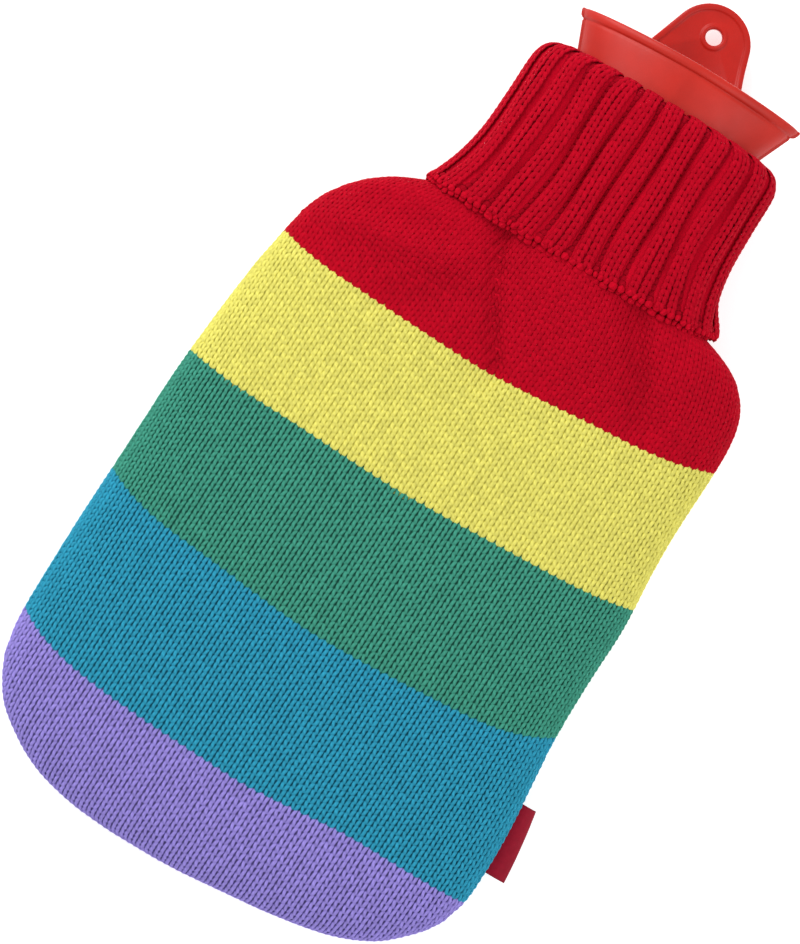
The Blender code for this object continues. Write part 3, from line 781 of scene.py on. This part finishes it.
def make_cover_cloth():
    """The cloth under the stitches: a closed skin with its hollow, open at the neck."""
    steps = np.linspace(CLOTH_START, 1.0, CLOTH_RINGS)
    sides = (
        (np.linspace(1.0, -1.0, FRONT_COLUMNS, endpoint=False), False),
        (np.linspace(-1.0, 1.0, BACK_COLUMNS, endpoint=False), True),
    )
    sinks = np.array([stripe.cloth_sink for stripe in STRIPES])
    outer, inner = [], []
    for y in np.interp(steps, np.linspace(0.0, 1.0, PROFILE_STEPS), PROFILE[0]):
        frames = [cover_frame(np.full(shares.size, y), shares, back) for shares, back in sides]
        ring, out = (np.concatenate(parts) for parts in zip(*frames))
        sink = sinks[stripe_at(y - smile(y, ring[:, 0]))][:, None]
        outer.append(ring - sink * out)
        inner.append(ring - (sink + CLOTH_THICK) * out)
    materials = [cloth_material(stripe) for stripe in STRIPES]
    made = looped_object("cover_cloth", outer + inner[::-1], materials)
    centres = np.zeros(len(made.data.polygons) * 3)
    made.data.polygons.foreach_get("center", centres)
    x, y, _ = (centres.reshape(-1, 3) / MM + ORIGIN).T
    place = unleaned(x, y)
    stripes = stripe_at(place - smile(place, x))
    made.data.polygons.foreach_set("material_index", stripes.astype(np.int32))
    return made


def make_stitches(random):
    """Each stripe's stitches as one piece: the front's, the back's and those of the edge."""
    batches = [[] for _ in STRIPES]
    for (points, across, out, there, stripes), ring in (
        (stitch_grid(False), YARN_RING),
        (stitch_grid(True), YARN_RING_PLAIN),
        (edge_grid(), YARN_RING),
    ):
        for number, (stripe, batch) in enumerate(zip(STRIPES, batches)):
            chosen = there & (stripes == number)[:, None]
            if not chosen.any():
                continue
            grid = (points - STITCH_SINK * stripe.relief * out, across, out, chosen)
            corners, coords, shade = legs(grid, ring, random, LEG, BOTH_LEGS, stripe.fatness, stripe.relief)
            x, y, z = np.moveaxis(corners, -1, 0)
            # Painted shade: the front's yarn in the folds is painted darker, as the folds' shade
            fold = np.where(z > FRONT_FROM_Z, pressed(x, unleaned(x, y), FOLD_PAINTED_SHADE), 0.0)
            batch.append((corners, coords, shade[:, None] * (1.0 - fold)))
    pieces = []
    for stripe, batch in zip(STRIPES, batches):
        material = yarn_material(stripe, stripe.name + "_yarn", stripe.deep_share)
        pieces.append(yarn_object(stripe.name + "_stitches", batch, material))
    return pieces


# The collar


def collar_rows(pitch):
    """Even steps along the collar's path, as fractional row numbers."""
    at = np.linspace(0.0, COLLAR_END, COLLAR_PATH_STEPS)
    run = run_along(through(COLLAR_PATH, at)[:, :2])
    return np.interp(np.linspace(0.0, run[-1], int(run[-1] / pitch) + 1), run, at)


def rib_height(share):
    """1 along the middle of a rib and 0 in the groove beside it, at a share of the way round."""
    return 1.0 - (2.0 * np.abs(off_whole(share * RIBS - RIB_PHASE))) ** RIB_ROUND


def groove_depth(at, share):
    """How deep the grooves are, at a fractional row number of the path and a share of the way round."""
    rows, depths = zip(*RIB_DEPTHS)
    shallow = LEFT_SHALLOWER * bell(share - LEFT_SHARE, LEFT_REACH)
    return RIB_DEPTH * np.interp(at, rows, depths) * (1.0 - shallow)


def rib_sway(at, share):
    """How far the ribs wander to the side, as a share of the way round."""
    return RIB_SWAY * sum(
        height * np.sin(2.0 * math.pi * (waves * share + turns * at) + start)
        for waves, turns, start, height in RIB_WAVES
    )


def near_hem(at, rows):
    """0 until this many rows above the hem, and 1 at it."""
    return eased(at, COLLAR_END - rows, COLLAR_END)


def collar_point(at, share, away):
    """The collar's cloth at a fractional row number of its path and a share of the way round from the
    right side over the front. away is how far it lies from the middle of the cloth."""
    at, share, away = np.broadcast_arrays(np.asarray(at, float), share, away)
    path, ahead, behind = (
        through(COLLAR_PATH, np.clip(at.ravel() + step, 0.0, COLLAR_END)).reshape(at.shape + (4,))
        for step in (0.0, 0.02, -0.02)
    )
    along, across = ahead[..., 0] - behind[..., 0], ahead[..., 1] - behind[..., 1]
    length = np.hypot(along, across)
    out_across, out_along = -along / length, across / length
    turn = ((share + rib_sway(at, share)) % 1.0) * 2.0
    front = turn < 1.0
    place = np.where(front, 1.0 - 2.0 * turn, 2.0 * turn - 3.0)
    u = np.interp(place, ARC, COLLAR_OVAL[0])
    v = np.interp(place, ARC, COLLAR_OVAL[1]) * np.where(front, 1.0, -1.0)
    groove = groove_depth(at, share) * (1.0 - rib_height(share))
    away = away - np.where(away > 0.0, groove, 0.0)
    away = np.where(away < 0.0, away * (1.0 - HEM_THINNING * near_hem(at, THINNED_ROWS)), away)
    corner = bell(off_whole(share), CORNER_REACH) * near_hem(at, CORNER_ROWS)
    hem = HEM_DROP * np.maximum(v, 0.0) ** 2 + HEM_SCALLOP * rib_height(share)
    hem = hem * near_hem(at, HEM_DROP_ROWS) - CORNER_RISE * corner
    x = NECK_X + (path[..., 1] + away * out_across) * u + CORNER_FLARE * corner
    z = NECK_Z + (path[..., 2] + away * out_across) * v
    return leaned(x, path[..., 0] + away * out_along - hem, np.maximum(z, 0.0), NECK_LEAN * path[..., 3])


def collar_frame(at, share, away):
    """Points of the collar with the directions across the cloth and out of it."""
    step_at, step_share = 0.05, 0.0008
    across = collar_point(at, share - step_share, away) - collar_point(at, share + step_share, away)
    along = collar_point(np.minimum(at + step_at, COLLAR_END), share, away)
    along = along - collar_point(np.maximum(at - step_at, 0.0), share, away)
    return collar_point(at, share, away), unit(across), unit(np.cross(along, across))


def make_collar_cloth():
    """The cloth under the collar's stitches: one closed skin from inside the neck to the hem."""
    share = np.arange(RIBS * COLUMNS_PER_RIB) / (RIBS * COLUMNS_PER_RIB)
    at = collar_rows(COLLAR_CLOTH_PITCH)
    rings = [collar_point(a, share, -COLLAR_THICK / 2.0) for a in at]
    rings += [collar_point(a, share, COLLAR_THICK / 2.0 - COLLAR_CLOTH_SINK) for a in at[::-1]]
    return looped_object("collar_cloth", rings, [cloth_material(RED)])


def make_collar_stitches(random):
    """The ribs' plain stitches, the purl stitches in the grooves and the cast-off chain of the hem."""
    at = collar_rows(COLLAR_ROW_PITCH)
    at = at[at > FIRST_ROW]
    rib, rib_share = COLLAR_ROUND / RIBS, 2.0 * RIB_HALF_SHARE
    offsets = (np.arange(WALES_PER_RIB) - (WALES_PER_RIB - 1) / 2.0) * rib_share / WALES_PER_RIB
    plain_width = rib_share * rib / WALES_PER_RIB * PLAIN_WIDENING
    purl_width = (1.0 - rib_share) * rib * PURL_WIDENING
    batches = []
    # The purl stitches in the grooves are painted darker, as painted shade; the ribs keep their colour
    for places, width, leg, sides, bright in (
        (RIB_PHASE + offsets, plain_width, LEG, BOTH_LEGS, 1.0),
        ([RIB_PHASE + 0.5], purl_width, PURL, ONE_LEG, GROOVE_PAINTED_SHADE),
    ):
        share = np.add.outer(np.arange(RIBS), places).ravel() / RIBS
        at_grid, share_grid = np.meshgrid(at, share, indexing="ij")
        sunk = COLLAR_THICK / 2.0 - STITCH_SINK * RIB_RELIEF
        points, across, out = collar_frame(at_grid, share_grid, sunk)
        hidden = at_grid < HIDDEN_TO_ROW
        there = at_grid < at[-1]
        for chosen, ring in ((there & ~hidden, YARN_RING), (there & hidden, YARN_RING_PLAIN)):
            grid = (points, across * width, out, chosen)
            corners, coords, shade = legs(grid, ring, random, leg, sides, RED.fatness, RIB_RELIEF)
            batches.append((corners, coords, shade * bright))
    share = -np.arange(HEM_LOOPS + 2) / HEM_LOOPS
    there = np.arange(share.size) < HEM_LOOPS
    for away, below in HEM_ROWS:
        points, around, out = collar_frame(COLLAR_END, share, away)
        down = np.cross(around, out)
        points = points + below * down + random.normal(0.0, HEM_STRAY, points.shape)
        grid = [one[:, None] for one in (points, down * HEM_LOOP_WIDTH, out, there)]
        corners, coords, shade = legs(grid, YARN_RING, random, BEAD, ONE_LEG)
        # Painted light: the hem's loops are painted brighter than their shading leaves them
        batches.append((corners, coords, shade * HEM_PAINTED_LIGHT))
    return yarn_object("collar_stitches", batches, yarn_material(RED, "collar_yarn", RIB_PAINTED_DEEP_SHARE))


# The rubber bottle


def bag_ring(angles, y, inset):
    """A ring of the bag, drawn in from the sack's surface."""
    left, right, edge, crown, under = section(y)
    lift = inset - BAG_CLEARANCE + BAG_SEAT_GAP
    u, v = powered(angles, BODY_POWER)
    x = (left + right) / 2.0 + ((right - left) / 2.0 - inset) * u
    rise = crown - inset - edge - BAG_FOLD_ROOM * eased(y, *BAG_FOLDS)
    z = edge + np.where(v >= 0.0, rise, edge - under - lift) * v
    push = inset * (1.0 - eased(y, *BAG_FOOT))
    return leaned(x, y + push, np.maximum(z, max(under, 0.0) + lift), lean(y))


def shoulder_ring(angles, row, wall):
    y, half_width, top, bottom = row
    u, v = powered(angles, 2.0)
    z = (top + bottom) / 2.0 + ((top - bottom) / 2.0 - wall) * v
    return leaned(FUNNEL_X + (half_width - wall) * u, y, z, NECK_LEAN)


def funnel_ring(angles, y, wall, out):
    """A ring of the neck and the funnel, with the mould's ridges outside."""
    part = (y - FUNNEL_FOOT_Y) / (RIM_Y - FUNNEL_FOOT_Y)
    wide = NECK_RADIUS + part * (RIM_HALF_WIDTH - NECK_RADIUS) - wall * (1.0 + RIM_WALL_GAIN * part) + out
    deep = NECK_RADIUS + part * (RIM_HALF_DEPTH - NECK_RADIUS) - wall + out
    u, v = powered(angles, 2.0 + (RIM_POWER - 2.0) * part)
    ridge = 0.0 if wall else MOULD_RIDGE * eased(part, 0.0, 0.3)
    off_ridge = np.minimum(np.abs(np.sin(angles)) / math.sin(RIDGE_HALF_ANGLE), 1.0)
    x = FUNNEL_X + wide * u + np.sign(u) * ridge * (1.0 - off_ridge)
    return leaned(x, y, NECK_Z + deep * v, NECK_LEAN)


def make_bottle():
    """The bottle with its hollow: the bag, its shoulders, and the neck that widens to a lipped funnel."""
    angles = np.linspace(0.0, math.pi, HALF_RING_STEPS + 1)
    angles = np.concatenate([angles, RIDGE_ANGLES, math.pi - RIDGE_ANGLES])
    angles = np.unique(np.round(np.concatenate([angles, -angles]), 6) % (2.0 * math.pi))
    rings = []
    for places, wall, (end, count), lip in (
        (BAG_PLACES, 0.0, OUTSIDE, LIP),
        (BAG_PLACES[1:], RUBBER_THICK, INSIDE, LIP_INSIDE),
    ):
        side = [bag_ring(angles, y, KNIT_THICK + BAG_CLEARANCE + wall) for y in places]
        side += [shoulder_ring(angles, row, wall) for row in BAG_SHOULDER]
        even = np.linspace(FUNNEL_FOOT_Y, RIM_Y - end, count)
        side += [funnel_ring(angles, y, wall, 0.0) for y in even]
        side += [funnel_ring(angles, RIM_Y - below, wall, out) for below, out in lip]
        rings += side[::-1] if wall else side
    points = np.vstack([rings[0].mean(axis=0), *rings, rings[-1].mean(axis=0)])
    faces = closed_faces(len(rings), len(angles))
    made = new_object("rubber_bottle", points, faces, [rubber_material("bottle_rubber", RUBBER_RED)])
    made.data.set_sharp_from_angle(angle=BOTTLE_SHARP)
    return made


def rim_back(x):
    """How far the back of the rim lies in front of its furthest point."""
    share = np.minimum(np.abs(x - FUNNEL_X) / RIM_HALF_WIDTH, 1.0)
    return RIM_HALF_DEPTH * (1.0 - (1.0 - share**RIM_POWER) ** (1.0 / RIM_POWER))


def tab_outline(inset):
    """The tab's outline drawn in by inset: a round head, its tangents, and the foot behind the rim."""
    head_y, foot_y = TAB_TOP_Y - TAB_HEAD_RADIUS, RIM_Y + SEAM_GAP
    to_foot = math.hypot(TAB_BASE_HALF_WIDTH, head_y - foot_y)
    flare = math.acos(TAB_HEAD_RADIUS / to_foot) - math.atan2(head_y - foot_y, TAB_BASE_HALF_WIDTH)
    angles = np.linspace(flare, math.pi - flare, TAB_HEAD_POINTS)
    radius = TAB_HEAD_RADIUS - inset
    head = np.stack([radius * np.cos(angles), head_y + radius * np.sin(angles)], axis=1)
    half = TAB_BASE_HALF_WIDTH - inset / math.cos(flare)
    left, right = np.array(((-half, foot_y), (half, foot_y)))
    share = np.linspace(0.0, 1.0, TAB_SIDE_POINTS)[1:-1, None]
    foot = left + (right - left) * np.linspace(0.0, 1.0, TAB_FOOT_POINTS)[:, None]
    down, up = head[-1] + (left - head[-1]) * share, right + (head[0] - right) * share
    x, y = np.vstack([head, down, foot, up]).T
    y = y + TAB_FOOT_INSET * inset * (y < foot_y + 0.01)
    x = TAB_X + x
    by = NECK_LEAN * (1.0 - eased(y, foot_y, head_y))
    return leaned(x, y, 0.0 * x, by)[:, :2]


def make_tab():
    """The hanging tab: a plate with a raised border and its eyelet cut through."""
    edge = tab_outline(0.0)
    toward = unit(edge - (TAB_X, EYELET_Y))
    lines = [((TAB_X, EYELET_Y) + toward * (EYELET_RADIUS + away), proud) for away, proud in BY_EYELET]
    lines += [(tab_outline(inset), proud) for inset, proud in BY_EDGE]
    base_z = NECK_Z - RIM_HALF_DEPTH
    front, back = [], []
    for flat, proud in lines:
        bend = rim_back(flat[:, 0]) * (1.0 - eased(flat[:, 1], RIM_Y, RIM_Y + TAB_BEND))
        for face, side in ((front, 1.0), (back, -1.0)):
            z = base_z + TAB_THICK / 2.0 + bend + side * (TAB_THICK / 2.0 + proud)
            face.append(np.column_stack([flat, z]))
    rings = front + back[::-1]
    made = looped_object("rubber_tab", rings, [rubber_material("tab_rubber", TAB_RED)])
    made.data.set_sharp_from_angle(angle=TAB_SHARP)
    return made


def between(one, other):
    """The triangles between two lines of points that run side by side."""
    triangles = []
    i, j = 0, 0
    ends = len(one) - 1, len(other) - 1
    while (i, j) != ends:
        if j == ends[1] or (i < ends[0] and (i + 1) / ends[0] <= (j + 1) / ends[1]):
            triangles.append((one[i], one[i + 1], other[j]))
            i += 1
        else:
            triangles.append((one[i], other[j + 1], other[j]))
            j += 1
    return np.array(triangles)


def make_label():
    """A tape folded double, its cut ends in the seam."""
    y = np.linspace(*LABEL_PLACES, LABEL_ROWS)
    _, right, z, _, _ = section(y)
    x = right - LABEL_IN_SEAM
    width = np.interp(y, LABEL_PLACES, LABEL_WIDTHS) + LABEL_IN_SEAM
    place = y + lean(y) * (x - NECK_X)
    shares = np.linspace(0.0, 1.0, LABEL_COLUMNS)
    inside, outside = 0.5 * LABEL_SPACE, 0.5 * LABEL_SPACE + LABEL_LAYER
    turned = LABEL_FOLD_ROUND * LABEL_LAYER
    outer = [(s, outside) for s in shares] + [(LABEL_FOLD_OUT, turned), (LABEL_FOLD_OUT, -turned)]
    outer += [(s, -outside) for s in shares[::-1]]
    inner = [(s, -inside) for s in shares[:-1]] + [(LABEL_FOLD_IN, 0.0)]
    inner += [(s, inside) for s in shares[-2::-1]]
    points = []
    for px, py, pz, w in zip(x, place, z, width):
        points += [(px + w * s, py, pz - LABEL_DROOP * s * s + h) for s, h in outer + inner]
    count = len(outer) + len(inner)
    last = (LABEL_ROWS - 1) * count
    end = between(range(len(outer)), range(count - 1, len(outer) - 1, -1))
    faces = np.concatenate([*halved(ring_faces(LABEL_ROWS, count)), end, (end + last)[:, ::-1]])
    return new_object("woven_label", np.array(points), faces, [label_material()])


# The studio


def make_studio():
    nodes = Nodes("floor")
    soft = nodes.spread(nodes.noise(3.0), 0.0, 1.0, 0.985, 1.0)
    floor_material = nodes.finish(nodes.scaled(FLOOR_WHITE, soft), 0.9, 0.1)
    nodes.put(nodes.shader.inputs["Emission Color"], WHITE)
    nodes.put(nodes.shader.inputs["Emission Strength"], FLOOR_GLOW)
    mesh = bpy.data.meshes.new("floor")
    corners = [(x * FLOOR_HALF, y * FLOOR_HALF, FLOOR_Z) for x, y in ((-1, -1), (1, -1), (1, 1), (-1, 1))]
    mesh.from_pydata(corners, [], [(0, 1, 2, 3)])
    mesh.materials.append(floor_material)
    floor = linked("floor", mesh)
    world = bpy.data.worlds.new("studio")
    world.use_nodes = True
    background = world.node_tree.nodes["Background"].inputs
    background["Color"].default_value = WHITE
    background["Strength"].default_value = WORLD_LIGHT
    bpy.context.scene.world = world
    for name, place, power in LAMPS:
        light = bpy.data.lights.new(name, "AREA")
        light.shape = "DISK"
        light.size = LAMP_SIZE
        light.energy = power
        lamp = linked(name, light)
        lamp.location = place
        lamp.rotation_euler = (Vector(LAMP_AIM) - Vector(place)).to_track_quat("-Z", "Y").to_euler()
    camera = bpy.data.cameras.new("camera")
    camera.lens = CAMERA_LENS
    camera.sensor_width = SENSOR_WIDTH
    eye = linked("camera", camera)
    eye.location = CAMERA_PLACE
    eye.rotation_euler = (0.0, 0.0, CAMERA_TURN)
    bpy.context.scene.camera = eye
    view = bpy.context.scene.view_settings
    view.view_transform = "Standard"
    view.look = "None"


def main():
    random = np.random.default_rng(SEED)
    stitches = make_stitches(random)
    cloth = make_cover_cloth()
    collar = make_collar_cloth()
    collar_stitches = make_collar_stitches(random)
    bottle, tab, label = make_bottle(), make_tab(), make_label()
    for piece in (cloth, collar, bottle, tab, label, collar_stitches, *stitches):
        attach(piece, "root")
    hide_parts("cover_body")
    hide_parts("collar")
    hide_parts("bottle")
    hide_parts("hang_tab")
    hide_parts("side_label")
    make_studio()


main()
